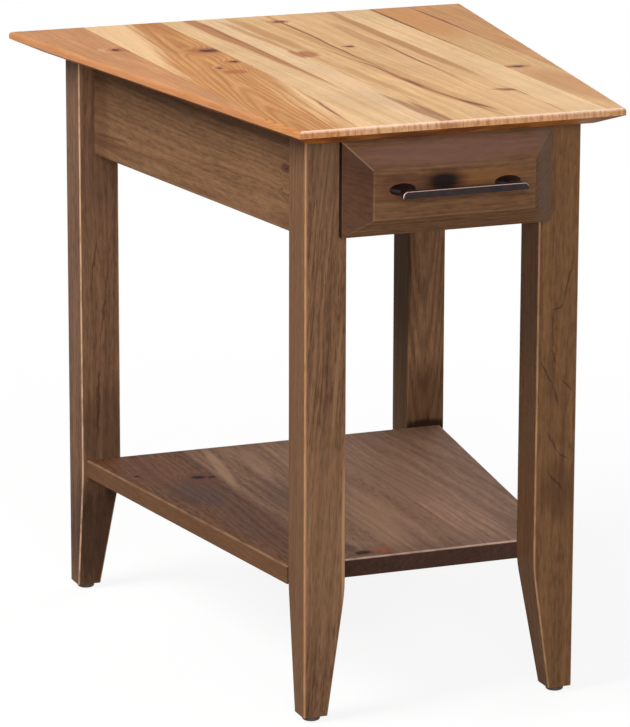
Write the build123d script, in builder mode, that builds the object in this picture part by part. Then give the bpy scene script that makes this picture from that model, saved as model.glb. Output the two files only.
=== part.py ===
"""Wedge end table with one drawer and a lower shelf, in hickory.

The plan is an isosceles wedge, narrow at the drawer end and wide at the back.
+X is to the right of someone facing the drawer, +Y runs to the back and +Z is up.
The origin is on the floor, at the middle of the table's overall box. Sizes are in mm.
"""

from build123d import *
import math
import os

os.makedirs("parts", exist_ok=True)

# ---------------------------------------------------------------- driving dimensions

table_height = 610

# the glued-up top: a small nose above, a wide undercut bevel below
top_thick = 19
top_front_width = 341
top_back_width = 524
front_overhang = 50
back_overhang = 38
top_nose = 7.5
top_bevel = 29
nose_radius = 3.5
top_seams = [-180, -92, -50, -20, 50, 109, 150, 197]

# the frame: four square legs, two splayed side aprons and a back apron
leg_size = 44
front_width = 292
back_width = 424
frame_depth = 532
foot_size = 26
taper_ease = 180
arris = 2.2
apron_depth = 104
apron_thick = 19
apron_inset = 15
edge_ease = 1
tenon_thick = 8
tenon_length = 12
tenon_shoulder = 10
tenon_fit = 0.1
mortise_relief = 1

# glue blocks behind the drawer hangers
glue_block_size = 19

# the two rails above and below the drawer
upper_rail_thick = 13
lower_rail_thick = 12
lower_rail_raise = 4
rail_depth = 40
rail_tenon_thick = 7
rail_tenon_shoulder = 5

# the shelf between the legs
shelf_height = 152
shelf_thick = 19
shelf_inset = 2
shelf_ease = 2.5
shelf_seams = [-100, -26, 62]
dowel_radius = 4
dowel_in_leg = 14
dowel_in_shelf = 18
dowel_spacing = 20
hole_relief = 1

# nail-on glides
glide_radius = 9
glide_thick = 6
glide_ease = 2
nail_radius = 1.3
nail_length = 15

# the drawer
box_height = 62
box_length = 400
side_thick = 12
end_thick = 12
bottom_thick = 6
bottom_raise = 10
groove_depth = 6
groove_fit = 0.3
box_drop_gap = 2.5
tail_count = 3
tail_slope = 8
tail_share = 0.62

# the thick overlay front with its raised field
front_gap = 1.5
front_overlay = 9
front_top_gap = 3
front_foot_gap = 6
front_edge = 6.5
front_rise = 19
side_bevel = 26
top_bevel_height = 27
foot_bevel_height = 19
field_ease = 0.8
bumper_radius = 4.5
bumper_inset = 6

# full-extension slides, one pair
slide_gap = 12.7
slide_length = 390
slide_height = 45
slide_start = 3
drawer_travel = 380
steel = 1.2
ball_radius = 1.5
ball_fit = 0.1
ball_pitch = 20
cage_margin = 10
cage_thick = 0.5
cage_fit = 0.25
pocket_fit = 0.05
running_gap = 0.4

# the bar pull
bar_length = 132
bar_height = 7
bar_thick = 4.6
bar_shoulder = 5.2
bar_ease = 1
bar_reach = 27.5
post_spacing = 111
foot_wide = 27.5
foot_high = 12
neck_wide = 13
neck_high = 6
pull_rise = 4.5
handle_bite = 8
flare_share = 0.45

# fixings
screw_radius = 2
screw_head_radius = 4
screw_head_thick = 2.4
screw_bite = 12
screw_fit = 0.05
front_screw_bite = 14
clip_width = 16
clip_thick = 1.5
clip_drop = 12
clip_tongue = 7
clip_reach = 20
clip_fit = 0.3
clip_screw_margin = 2
clip_from_front = 110
clip_from_back = 90
rest_fit = 0.3

# ---------------------------------------------------------------- derived places

frame_top = table_height - top_thick
apron_bottom = frame_top - apron_depth
shelf_bottom = shelf_height - shelf_thick
front_thick = front_edge + front_rise
reach = max(front_overhang, front_gap + front_thick + bar_reach)

# Y of the main faces, from the drawer end to the back
legs_front = -(frame_depth + back_overhang - reach) / 2
legs_back = legs_front + frame_depth
aprons_start = legs_front + leg_size
aprons_end = legs_back - leg_size
top_front = legs_front - front_overhang
top_back = legs_back + back_overhang
back_apron_inner = legs_back - apron_inset - apron_thick

# the splay of the side frames, and of the top's edges
side_slope = (back_width - front_width) / 2 / (frame_depth - leg_size)
splay = math.atan(side_slope)
top_slope = (top_back_width - top_front_width) / 2 / (top_back - top_front)

# the drawer opening
opening_half = front_width / 2 - leg_size
box_half = opening_half - slide_gap
lower_rail_top = apron_bottom + lower_rail_raise + lower_rail_thick
box_bottom = lower_rail_top + box_drop_gap
box_top = box_bottom + box_height
slide_z = (box_bottom + box_top) / 2
box_front = legs_front - front_gap
box_back = box_front + box_length


def side_x(y):
    """Half the width across the outer faces of the side frames, at depth y."""
    return front_width / 2 + side_slope * (y - legs_front - leg_size / 2)


def top_x(y):
    """Half the width of the top at depth y."""
    return top_front_width / 2 + top_slope * (y - top_front)


def apron_x(y, depth_in):
    """X of a side apron at depth y, depth_in behind its outer face."""
    return side_x(y) - apron_inset - depth_in / math.cos(splay)


def write(piece, name):
    """Labels a finished piece and writes it as its own file."""
    piece.label = name
    export_step(piece, f"parts/{name}.step")


def write_pair(right, name):
    """Writes a right-hand piece and its mirror image on the left."""
    write(mirror(right, about=Plane.YZ), f"{name}_left")
    write(right, f"{name}_right")


def box_between(low, high, mode=Mode.ADD):
    """A box from its lowest to its highest corner."""
    centre = tuple((a + b) / 2 for a, b in zip(low, high))
    size = [b - a for a, b in zip(low, high)]
    with Locations(centre):
        Box(*size, mode=mode)


def drill(point, direction, radius, depth, mode=Mode.SUBTRACT):
    """A round hole or pin from point along direction."""
    with BuildSketch(Plane(origin=point, z_dir=direction)) as section:
        Circle(radius)
    extrude(section.sketch, amount=depth, mode=mode)


# ---------------------------------------------------------------- tenons

def side_tenon(y_start, y_end, fit=0.0, mode=Mode.ADD):
    """A tenon in line with the right side apron, or its mortise when fit is given."""
    half = tenon_thick / 2 + fit
    low = apron_bottom + tenon_shoulder - fit
    high = frame_top - tenon_shoulder + fit
    middle = apron_thick / 2
    with BuildSketch(Plane.XY.offset(low)) as section:
        with BuildLine():
            Polyline(
                (apron_x(y_start, middle - half), y_start),
                (apron_x(y_end, middle - half), y_end),
                (apron_x(y_end, middle + half), y_end),
                (apron_x(y_start, middle + half), y_start),
                close=True,
            )
        make_face()
    extrude(section.sketch, amount=high - low, mode=mode)


def back_tenon(x_start, x_end, fit=0.0, mode=Mode.ADD):
    """A tenon of the back apron, or its mortise when fit is given."""
    middle = back_apron_inner + apron_thick / 2
    half = tenon_thick / 2 + fit
    low = apron_bottom + tenon_shoulder - fit
    high = frame_top - tenon_shoulder + fit
    box_between((x_start, middle - half, low), (x_end, middle + half, high), mode)


def rail_tenon(x_start, x_end, middle_z, fit=0.0, mode=Mode.ADD):
    """A flat tenon of a drawer rail, or its mortise when fit is given."""
    half = rail_tenon_thick / 2 + fit
    low_y = legs_front + rail_tenon_shoulder - fit
    high_y = legs_front + rail_depth - rail_tenon_shoulder + fit
    box_between((x_start, low_y, middle_z - half), (x_end, high_y, middle_z + half), mode)


upper_rail_z = frame_top - upper_rail_thick / 2
lower_rail_z = lower_rail_top - lower_rail_thick / 2
rail_levels = [upper_rail_z, lower_rail_z]

# ---------------------------------------------------------------- legs and glides

def leg_profile(plane, outer, inward):
    """One face of a leg: straight outside, tapered inside below the shelf."""
    inner = outer + inward * leg_size
    with BuildSketch(plane) as face:
        with BuildLine():
            Polyline(
                (outer, glide_thick),
                (outer, frame_top),
                (inner, frame_top),
                (inner, shelf_bottom),
                (outer + inward * foot_size, glide_thick),
                close=True,
            )
        make_face()
        bend = face.vertices().sort_by_distance((inner, shelf_bottom))[0]
        fillet(bend, taper_ease)
    return face.sketch


def dowel_places(corner_x):
    """X of the two shelf dowels in the leg whose outer face is at corner_x."""
    middle = corner_x - leg_size / 2
    return [middle - dowel_spacing / 2, middle + dowel_spacing / 2]


def leg(corner_x, corner_y, toward):
    """A right-hand leg; toward is +1 when its inner face looks to the back."""
    with BuildPart() as blank:
        extrude(leg_profile(Plane.XZ, corner_x, -1), amount=table_height, both=True)
        side_face = leg_profile(Plane.YZ, corner_y, toward)
        extrude(side_face, amount=table_height, both=True, mode=Mode.INTERSECT)
        long_edges = blank.edges().filter_by(lambda e: abs(e.tangent_at(0.5).Z) > 0.9)
        fillet(long_edges, arris)
        inner_y = corner_y + toward * leg_size
        for x in dowel_places(corner_x):
            hole = (x, inner_y, shelf_bottom + shelf_thick / 2)
            drill(hole, (0, -toward, 0), dowel_radius, dowel_in_leg + hole_relief)
        foot_x = corner_x - foot_size / 2
        foot_y = corner_y + toward * foot_size / 2
        drill((foot_x, foot_y, glide_thick), (0, 0, 1), nail_radius, nail_length + hole_relief)
    return blank.part


mortise_depth = tenon_length + mortise_relief
front_blank = leg(front_width / 2, legs_front, 1)
back_blank = leg(back_width / 2, legs_back, -1)

with BuildPart() as leg_front:
    add(front_blank)
    side_tenon(aprons_start - mortise_depth, aprons_start, tenon_fit, Mode.SUBTRACT)
    for z in rail_levels:
        rail_tenon(opening_half, opening_half + mortise_depth, z, tenon_fit, Mode.SUBTRACT)
write_pair(leg_front.part, "leg_front")

back_inner_x = back_width / 2 - leg_size
with BuildPart() as leg_back:
    add(back_blank)
    side_tenon(aprons_end, aprons_end + mortise_depth, tenon_fit, Mode.SUBTRACT)
    back_tenon(back_inner_x, back_inner_x + mortise_depth, tenon_fit, Mode.SUBTRACT)
write_pair(leg_back.part, "leg_back")


def glide(corner_x, corner_y, toward):
    """A round glide with its nail, under the foot of a right-hand leg."""
    foot_x = corner_x - foot_size / 2
    foot_y = corner_y + toward * foot_size / 2
    with BuildPart() as disc:
        drill((foot_x, foot_y, 0), (0, 0, 1), glide_radius, glide_thick, Mode.ADD)
        fillet(disc.edges().group_by(Axis.Z)[0], glide_ease)
        drill((foot_x, foot_y, glide_thick), (0, 0, 1), nail_radius, nail_length, Mode.ADD)
    return disc.part


write_pair(glide(front_width / 2, legs_front, 1), "glide_front")
write_pair(glide(back_width / 2, legs_back, -1), "glide_back")

# ---------------------------------------------------------------- aprons and rails

clip_z = frame_top - clip_drop
side_clip_places = [aprons_start + clip_from_front, aprons_end - clip_from_back]
back_clip_places = [-back_inner_x / 2, back_inner_x / 2]


def side_clip_plane(y):
    """A plane on the right apron's inner face, its X axis pointing into the table."""
    origin = (apron_x(y, apron_thick), y, clip_z)
    inward = (-math.cos(splay), math.sin(splay), 0)
    along = (math.sin(splay), math.cos(splay), 0)
    return Plane(origin=origin, x_dir=inward, z_dir=along)


def back_clip_plane(x):
    """A plane on the back apron's inner face, its X axis pointing into the table."""
    return Plane(origin=(x, back_apron_inner, clip_z), x_dir=(0, -1, 0), z_dir=(1, 0, 0))


def clip_slot(plane):
    """The saw kerf that takes a clip's tongue."""
    with BuildSketch(plane) as section:
        Rectangle(2 * (clip_tongue + clip_fit), clip_thick + 2 * clip_fit)
    half = clip_width / 2 + clip_fit
    extrude(section.sketch, amount=half, both=True, mode=Mode.SUBTRACT)


with BuildPart() as apron_side:
    with BuildSketch(Plane.XY.offset(apron_bottom)):
        with BuildLine():
            Polyline(
                (apron_x(aprons_start, 0), aprons_start),
                (apron_x(aprons_end, 0), aprons_end),
                (apron_x(aprons_end, apron_thick), aprons_end),
                (apron_x(aprons_start, apron_thick), aprons_start),
                close=True,
            )
        make_face()
    extrude(amount=apron_depth)
    lower_edges = apron_side.edges().group_by(Axis.Z)[0].sort_by(SortBy.LENGTH)[-2:]
    fillet(lower_edges, edge_ease)
    side_tenon(aprons_start - tenon_length, aprons_start)
    side_tenon(aprons_end, aprons_end + tenon_length)
    for y in side_clip_places:
        clip_slot(side_clip_plane(y))
write_pair(apron_side.part, "apron")

with BuildPart() as apron_back:
    box_between(
        (-back_inner_x, back_apron_inner, apron_bottom),
        (back_inner_x, back_apron_inner + apron_thick, frame_top),
    )
    lower_edges = apron_back.edges().filter_by(Axis.X).group_by(Axis.Z)[0]
    fillet(lower_edges, edge_ease)
    back_tenon(-back_inner_x - tenon_length, -back_inner_x)
    back_tenon(back_inner_x, back_inner_x + tenon_length)
    for x in back_clip_places:
        clip_slot(back_clip_plane(x))
write(apron_back.part, "apron_back")

rail_screw_y = legs_front + rail_depth / 2
rail_screw_places = [-opening_half / 2, opening_half / 2]


def rail(middle_z, thick):
    """A drawer rail with a tenon at each end."""
    with BuildPart() as bar:
        box_between(
            (-opening_half, legs_front, middle_z - thick / 2),
            (opening_half, legs_front + rail_depth, middle_z + thick / 2),
        )
        rail_tenon(-opening_half - tenon_length, -opening_half, middle_z)
        rail_tenon(opening_half, opening_half + tenon_length, middle_z)
    return bar.part


upper_blank = rail(upper_rail_z, upper_rail_thick)
with BuildPart() as rail_upper:
    add(upper_blank)
    for x in rail_screw_places:
        point = (x, rail_screw_y, frame_top)
        drill(point, (0, 0, -1), screw_radius + screw_fit, upper_rail_thick)
write(rail_upper.part, "rail_upper")
write(rail(lower_rail_z, lower_rail_thick), "rail_lower")

# ---------------------------------------------------------------- drawer hangers

# a hanger board runs straight back from each front leg to the back apron and
# carries the slide, because the splayed apron can't
hanger_outer = apron_x(aprons_start, apron_thick) - rest_fit
hanger_low = box_bottom
hanger_high = box_top

with BuildPart() as hanger:
    box_between(
        (opening_half, aprons_start, hanger_low),
        (hanger_outer, back_apron_inner, hanger_high),
    )
write_pair(hanger.part, "hanger")

with BuildPart() as glue_block:
    box_between(
        (hanger_outer, back_apron_inner - glue_block_size, hanger_low),
        (hanger_outer + glue_block_size, back_apron_inner, hanger_high),
    )
    inner_corner = glue_block.edges().filter_by(Axis.Z).sort_by(Axis.X)[-2:].sort_by(Axis.Y)[0]
    chamfer(inner_corner, glue_block_size / 2)
write_pair(glue_block.part, "glue_block")

# ---------------------------------------------------------------- shelf

shelf_dowel_z = shelf_bottom + shelf_thick / 2


def shelf_half(y):
    """Half the width of the shelf at depth y."""
    return side_x(y) - shelf_inset


def dowel_line(corner_x, y, toward):
    """The start and direction of each dowel from the shelf's end into a leg."""
    return [((x, y, shelf_dowel_z), (0, toward, 0)) for x in dowel_places(corner_x)]


all_dowels = []
for side in (-1, 1):
    for corner, y, toward in ((front_width / 2, aprons_start, -1), (back_width / 2, aprons_end, 1)):
        for (x, start_y, z), direction in dowel_line(corner, y, toward):
            all_dowels.append(((side * x, start_y, z), direction))

with BuildPart() as shelf:
    with BuildSketch(Plane.XY.offset(shelf_bottom)):
        with BuildLine():
            Polyline(
                (shelf_half(aprons_start), aprons_start),
                (shelf_half(aprons_end), aprons_end),
                (-shelf_half(aprons_end), aprons_end),
                (-shelf_half(aprons_start), aprons_start),
                close=True,
            )
        make_face()
    extrude(amount=shelf_thick)
    fillet(shelf.edges().group_by(Axis.Z)[-1], shelf_ease)
    for (x, y, z), (_, toward, _) in all_dowels:
        drill((x, y, z), (0, -toward, 0), dowel_radius, dowel_in_shelf + hole_relief)

with BuildPart() as shelf_dowels:
    for (x, y, z), (_, toward, _) in all_dowels:
        start = (x, y - toward * dowel_in_shelf, z)
        drill(start, (0, toward, 0), dowel_radius, dowel_in_shelf + dowel_in_leg, Mode.ADD)
write(shelf_dowels.part, "shelf_dowels")


def write_boards(panel, seams, name):
    """Cuts a glued panel into its boards along the seams and writes each one."""
    far = table_height * 2
    bounds = [-far, *seams, far]
    for number, (low, high) in enumerate(zip(bounds, bounds[1:]), start=1):
        with BuildPart() as board:
            add(panel)
            box_between((low, -far, -far), (high, far, far), Mode.INTERSECT)
        write(board.part, f"{name}_{number}")


write_boards(shelf.part, shelf_seams, "shelf_board")

# ---------------------------------------------------------------- top


def top_outline(z, inset):
    """The wedge outline of the top at height z, drawn in by inset."""
    slant = inset * math.sqrt(1 + top_slope**2) - inset * top_slope
    front = top_front + inset
    back = top_back - inset
    with BuildSketch(Plane.XY.offset(z)) as outline:
        with BuildLine():
            Polyline(
                (top_x(front) - slant, front),
                (top_x(back) - slant, back),
                (slant - top_x(back), back),
                (slant - top_x(front), front),
                close=True,
            )
        make_face()
    return outline.sketch


clip_screw_inset = clip_reach - screw_head_radius - clip_screw_margin


def clip_screw_points():
    """The points under the top where the clips' screws enter it."""
    points = []
    for y in side_clip_places:
        plane = side_clip_plane(y)
        spot = plane.from_local_coords((clip_screw_inset, clip_drop, 0))
        points.append((spot.X, spot.Y, frame_top))
        points.append((-spot.X, spot.Y, frame_top))
    for x in back_clip_places:
        points.append((x, back_apron_inner - clip_screw_inset, frame_top))
    return points


rail_screw_points = [(x, rail_screw_y, frame_top) for x in rail_screw_places]
nose_bottom = table_height - top_nose

with BuildPart() as top:
    loft([top_outline(frame_top, top_bevel), top_outline(nose_bottom, 0)])
    extrude(top_outline(nose_bottom, 0), amount=top_nose)
    fillet(top.edges().group_by(Axis.Z)[-1], nose_radius)
    for point in clip_screw_points() + rail_screw_points:
        drill(point, (0, 0, 1), screw_radius + screw_fit, screw_bite + hole_relief)
write_boards(top.part, top_seams, "top_board")

# ---------------------------------------------------------------- clips and screws


def clip(plane):
    """A Z-shaped steel clip: tongue in the apron's kerf, flange under the top."""
    half = clip_thick / 2
    rise = clip_drop
    with BuildSketch(plane) as section:
        with BuildLine():
            Polyline(
                (-clip_tongue, -half),
                (clip_thick + rest_fit, -half),
                (clip_thick + rest_fit, rise - clip_thick),
                (clip_reach, rise - clip_thick),
                (clip_reach, rise),
                (rest_fit, rise),
                (rest_fit, half),
                (-clip_tongue, half),
                close=True,
            )
        make_face()
    extrude(section.sketch, amount=clip_width / 2, both=True)


clip_planes = [side_clip_plane(y) for y in side_clip_places]
with BuildPart() as top_clips:
    for plane in clip_planes:
        clip(plane)
    mirror(about=Plane.YZ)
    for x in back_clip_places:
        clip(back_clip_plane(x))
    for x, y, z in clip_screw_points():
        drill((x, y, z), (0, 0, -1), screw_radius + screw_fit, clip_thick * 2)
write(top_clips.part, "top_clips")


def screw(point, direction, length):
    """A pan-head screw: point is under its head, direction is the way it goes in."""
    back = tuple(-a for a in direction)
    drill(point, direction, screw_radius, length, Mode.ADD)
    drill(point, back, screw_head_radius, screw_head_thick, Mode.ADD)


with BuildPart() as clip_screws:
    for x, y, z in clip_screw_points():
        screw((x, y, z - clip_thick), (0, 0, 1), clip_thick + screw_bite)
write(clip_screws.part, "clip_screws")

with BuildPart() as rail_screws:
    for x, y, z in rail_screw_points:
        screw((x, y, z - upper_rail_thick), (0, 0, 1), upper_rail_thick + screw_bite)
write(rail_screws.part, "rail_screws")

# ---------------------------------------------------------------- drawer slides

# across one slide, u runs from the hanger towards the drawer and w up from its middle
outer_wall = slide_height / 2
ball_room = 2 * (ball_radius + ball_fit)
middle_wall = outer_wall - steel - ball_room
inner_wall = middle_wall - steel - ball_room
web_gap = cage_thick + 2 * cage_fit
middle_web = steel + web_gap
inner_lip = middle_web + steel + web_gap
slide_front = legs_front + slide_start
slide_back = slide_front + slide_length


def channel(web_u, open_u, wall):
    """A steel channel, its web at web_u and its flanges reaching to open_u."""
    turn = 1 if open_u > web_u else -1
    low, high = sorted((web_u, web_u + turn * steel))
    left, right = sorted((web_u, open_u))
    x_of = [opening_half - a for a in (low, high, left, right)]
    box_between((x_of[1], slide_front, slide_z - wall), (x_of[0], slide_back, slide_z + wall))
    for side in (-1, 1):
        edge = slide_z + side * wall
        inside = edge - side * steel
        box_between(
            (x_of[3], slide_front, min(edge, inside)),
            (x_of[2], slide_back, max(edge, inside)),
        )


with BuildPart() as slide_outer:
    channel(0, slide_gap - steel - running_gap, outer_wall)
write_pair(slide_outer.part, "slide_outer")

with BuildPart() as slide_middle:
    channel(middle_web, slide_gap - steel - running_gap, middle_wall)
write_pair(slide_middle.part, "slide_middle")

with BuildPart() as slide_inner:
    channel(slide_gap, inner_lip, inner_wall)
write_pair(slide_inner.part, "slide_inner")


cage_start = slide_front + drawer_travel / 4 + cage_margin
cage_end = cage_start + slide_length - drawer_travel / 2 - 2 * cage_margin
ball_count = int((cage_end - cage_start) / ball_pitch)
finger_past_ball = ball_radius + cage_thick


def ball_centres(web_u, wall):
    """The centres of the two rows of balls that run in the channel at web_u."""
    x = opening_half - (web_u + slide_gap) / 2
    row = wall - steel - ball_fit - ball_radius
    ys = [cage_start + (number + 0.5) * ball_pitch for number in range(ball_count)]
    return [(x, y, slide_z + side * row) for side in (-1, 1) for y in ys]


def ball_cage(web_u, wall):
    """A retainer strip with a finger above and below, pierced for its balls."""
    strip = opening_half - web_u - steel - cage_fit
    centres = ball_centres(web_u, wall)
    half = cage_thick / 2
    lowest = centres[0][2]
    highest = centres[-1][2]
    box_between((strip - cage_thick, cage_start, lowest), (strip, cage_end, highest))
    for z in (lowest, highest):
        tip = centres[0][0] - finger_past_ball
        box_between((tip, cage_start, z - half), (strip, cage_end, z + half))
    for x, y, z in centres:
        drill((x, y, z - cage_thick), (0, 0, 1), ball_radius + pocket_fit, 2 * cage_thick)


def balls(web_u, wall):
    """The balls of one cage on both sides of the drawer."""
    for x, y, z in ball_centres(web_u, wall):
        for side in (-1, 1):
            with Locations((side * x, y, z)):
                Sphere(ball_radius)


with BuildPart() as cage_outer:
    ball_cage(0, outer_wall)
write_pair(cage_outer.part, "cage_outer")

with BuildPart() as cage_inner:
    ball_cage(middle_web, middle_wall)
write_pair(cage_inner.part, "cage_inner")

with BuildPart() as balls_outer:
    balls(0, outer_wall)
write(balls_outer.part, "balls_outer")

with BuildPart() as balls_inner:
    balls(middle_web, middle_wall)
write(balls_inner.part, "balls_inner")

# ---------------------------------------------------------------- drawer box

box_inner_half = box_half - side_thick
box_inner_front = box_front + end_thick
box_inner_back = box_back - end_thick
bottom_low = box_bottom + bottom_raise
groove_low = bottom_low - groove_fit / 2
groove_high = bottom_low + bottom_thick + groove_fit / 2
tail_pitch = box_height / tail_count
tail_wide = tail_pitch * tail_share
tail_narrow = tail_wide - 2 * end_thick * math.tan(math.radians(tail_slope))


def dovetails(side, y_root, y_tip, mode):
    """The tails of one side board, from its shoulder to its end; side is -1 or 1."""
    inner_x = box_inner_half if side > 0 else -box_half
    for number in range(tail_count):
        z = box_bottom + (number + 0.5) * tail_pitch
        with BuildSketch(Plane.YZ.offset(inner_x)) as tail:
            with BuildLine():
                Polyline(
                    (y_root, z - tail_narrow / 2),
                    (y_tip, z - tail_wide / 2),
                    (y_tip, z + tail_wide / 2),
                    (y_root, z + tail_narrow / 2),
                    close=True,
                )
            make_face()
        extrude(tail.sketch, amount=side_thick, mode=mode)


def groove(low, high):
    """The groove for the drawer bottom, between two plan corners."""
    box_between((*low, groove_low), (*high, groove_high), Mode.SUBTRACT)


groove_half = box_inner_half + groove_depth
groove_front = box_inner_front - groove_depth
groove_back = box_inner_back + groove_depth

with BuildPart() as drawer_side:
    box_between(
        (box_inner_half, box_inner_front, box_bottom),
        (box_half, box_inner_back, box_top),
    )
    dovetails(1, box_inner_front, box_front, Mode.ADD)
    dovetails(1, box_inner_back, box_back, Mode.ADD)
    groove((box_inner_half, groove_front), (groove_half, groove_back))
write_pair(drawer_side.part, "drawer_side")

front_half = opening_half + front_overlay
front_low = apron_bottom + front_foot_gap
front_high = frame_top - front_top_gap
field_low = front_low + foot_bevel_height
field_high = front_high - top_bevel_height
field_half = front_half - side_bevel
field_face = box_front - front_thick
pull_z = (field_low + field_high) / 2 + pull_rise
post_places = [-post_spacing / 2, post_spacing / 2]

front_screw_x = box_inner_half - 2 * screw_head_radius
front_screw_z = [box_top - 2.5 * screw_head_radius, groove_high + 2.5 * screw_head_radius]
front_screws_at = [(side * front_screw_x, z) for side in (-1, 1) for z in front_screw_z]


def drawer_end(outer, inner):
    """A box end from its outer to its inner face, cut away for the sides' tails."""
    low, high = sorted((outer, inner))
    bed = math.copysign(groove_depth, outer - inner)
    groove_low_y, groove_high_y = sorted((inner, inner + bed))
    with BuildPart() as end:
        box_between((-box_half, low, box_bottom), (box_half, high, box_top))
        dovetails(-1, inner, outer, Mode.SUBTRACT)
        dovetails(1, inner, outer, Mode.SUBTRACT)
        groove((-groove_half, groove_low_y), (groove_half, groove_high_y))
    return end.part


subfront_blank = drawer_end(box_front, box_inner_front)
with BuildPart() as drawer_subfront:
    add(subfront_blank)
    for x, z in front_screws_at:
        drill((x, box_inner_front, z), (0, -1, 0), screw_radius + screw_fit, end_thick)
    for x in post_places:
        drill((x, box_inner_front, pull_z), (0, -1, 0), screw_radius + screw_fit, end_thick)
write(drawer_subfront.part, "drawer_subfront")

write(drawer_end(box_back, box_inner_back), "drawer_back")

with BuildPart() as drawer_bottom:
    box_between(
        (groove_fit - groove_half, groove_front + groove_fit, bottom_low),
        (groove_half - groove_fit, groove_back - groove_fit, bottom_low + bottom_thick),
    )
write(drawer_bottom.part, "drawer_bottom")

# ---------------------------------------------------------------- drawer front

edge_face = box_front - front_edge


def front_rectangle(y, half, low, high):
    """A rectangle of the drawer front at depth y."""
    with BuildSketch(Plane.XZ.offset(-y)) as outline:
        with Locations((0, (low + high) / 2)):
            Rectangle(2 * half, high - low)
    return outline.sketch


with BuildPart() as drawer_front:
    extrude(front_rectangle(box_front, front_half, front_low, front_high), amount=front_edge)
    foot_of_bevel = front_rectangle(edge_face, front_half, front_low, front_high)
    field = front_rectangle(field_face, field_half, field_low, field_high)
    loft([foot_of_bevel, field])
    raised = drawer_front.edges().filter_by_position(Axis.Y, field_face - 1, edge_face + 0.01)
    fillet(raised, field_ease)
    for x, z in front_screws_at:
        drill((x, box_front, z), (0, -1, 0), screw_radius + screw_fit, front_screw_bite + hole_relief)
    for x in post_places:
        drill((x, box_front, pull_z), (0, -1, 0), screw_radius + screw_fit, front_thick)
write(drawer_front.part, "drawer_front")

with BuildPart() as front_screws:
    for x, z in front_screws_at:
        screw((x, box_inner_front, z), (0, -1, 0), end_thick + front_screw_bite)
write(front_screws.part, "front_screws")

with BuildPart() as bumpers:
    bumper_x = front_half - bumper_inset
    for x in (-bumper_x, bumper_x):
        for z in (front_low + 2 * bumper_radius, front_high - 2 * bumper_radius):
            thick = front_gap - rest_fit
            drill((x, box_front, z), (0, 1, 0), bumper_radius, thick, Mode.ADD)
write(bumpers.part, "bumpers")

# ---------------------------------------------------------------- bar pull

bar_back = field_face - bar_reach + bar_thick


def oval(y, x, wide, high):
    """An oval section of a post at depth y."""
    with BuildSketch(Plane.XZ.offset(-y)) as section:
        with Locations((x, pull_z)):
            Ellipse(wide / 2, high / 2)
    return section.sketch


with BuildPart() as pull:
    with BuildSketch(Plane.XZ.offset(-bar_back)) as bar_face:
        with Locations((0, pull_z)):
            Rectangle(bar_length, bar_height)
        fillet(bar_face.vertices().group_by(Axis.Y)[-1], bar_shoulder)
        fillet(bar_face.vertices().group_by(Axis.Y)[0], bar_ease)
    extrude(amount=bar_thick)
    fillet(pull.faces().sort_by(Axis.Y)[0].edges(), bar_ease * 0.9)
    for x in post_places:
        flare = field_face - (bar_reach - bar_thick) * flare_share
        neck = oval(flare, x, neck_wide, neck_high)
        loft([oval(field_face, x, foot_wide, foot_high), neck])
        extrude(neck, amount=flare - bar_back)
    for x in post_places:
        drill((x, field_face, pull_z), (0, -1, 0), screw_radius + screw_fit, handle_bite + hole_relief)
write(pull.part, "pull")

with BuildPart() as pull_screws:
    for x in post_places:
        length = end_thick + front_thick + handle_bite
        screw((x, box_inner_front, pull_z), (0, -1, 0), length)
write(pull_screws.part, "pull_screws")
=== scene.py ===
import math

import bpy
from mathutils import Matrix, Vector

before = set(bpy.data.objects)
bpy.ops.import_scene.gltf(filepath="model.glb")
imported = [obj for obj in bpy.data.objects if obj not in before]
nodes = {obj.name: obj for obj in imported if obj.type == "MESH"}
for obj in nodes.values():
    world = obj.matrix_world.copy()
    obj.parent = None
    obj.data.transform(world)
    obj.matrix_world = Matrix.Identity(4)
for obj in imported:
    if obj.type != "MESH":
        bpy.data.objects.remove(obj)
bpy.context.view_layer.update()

mm = 0.001

# ---------------------------------------------------------------- legs
# Four square hickory legs, tapered on their inner faces below the shelf. Each is sawn from
# one blank, sanded, stained brown-grey and sealed with a satin lacquer. The stain is rubbed
# thin on the arrises, where the wood shows tan under a painted highlight, and it gathers dark
# in the long pores.


def linear(code):
    """An sRGB hex colour as linear light."""
    parts = [int(code[at : at + 2], 16) / 255 for at in (1, 3, 5)]
    light = [c / 12.92 if c <= 0.04045 else ((c + 0.055) / 1.055) ** 2.4 for c in parts]
    return (*light, 1)


def add_node(tree, kind, feeds=None, **settings):
    """Adds a shader node, with its settings and with the value or source of each input."""
    added = tree.nodes.new("ShaderNode" + kind)
    for name, setting in settings.items():
        setattr(added, name, setting)
    for socket, feed in (feeds or {}).items():
        if isinstance(feed, bpy.types.Node):
            feed = feed.outputs[0]
        if isinstance(feed, bpy.types.NodeSocket):
            tree.links.new(feed, added.inputs[socket])
        else:
            added.inputs[socket].default_value = feed
    return added


def empty_material(name):
    """A new material without nodes, and its node tree."""
    material = bpy.data.materials.new(name)
    material.use_nodes = True
    material.node_tree.nodes.clear()
    return material, material.node_tree


def give(piece, material):
    """Lays one material on the whole of a piece."""
    piece.data.materials.clear()
    piece.data.materials.append(material)


def moved(tree, place, noise, reach):
    """Each point moved by a noise, up to half of reach either way along each axis."""
    shift = add_node(
        tree,
        "VectorMath",
        {0: noise.outputs["Color"], 1: reach, 2: [-a / 2 for a in reach]},
        operation="MULTIPLY_ADD",
    )
    return add_node(tree, "VectorMath", {0: place, 1: shift}, operation="ADD")


def long_noise(tree, place, across, along, detail, roughness=0.5):
    """Noise that is drawn out along Y; across and along are its cells per metre."""
    cells = add_node(tree, "VectorMath", {0: place, 1: (across, along, across)}, operation="MULTIPLY")
    return add_node(
        tree, "TexNoise", {"Vector": cells, "Scale": 1, "Detail": detail, "Roughness": roughness}
    )


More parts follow.
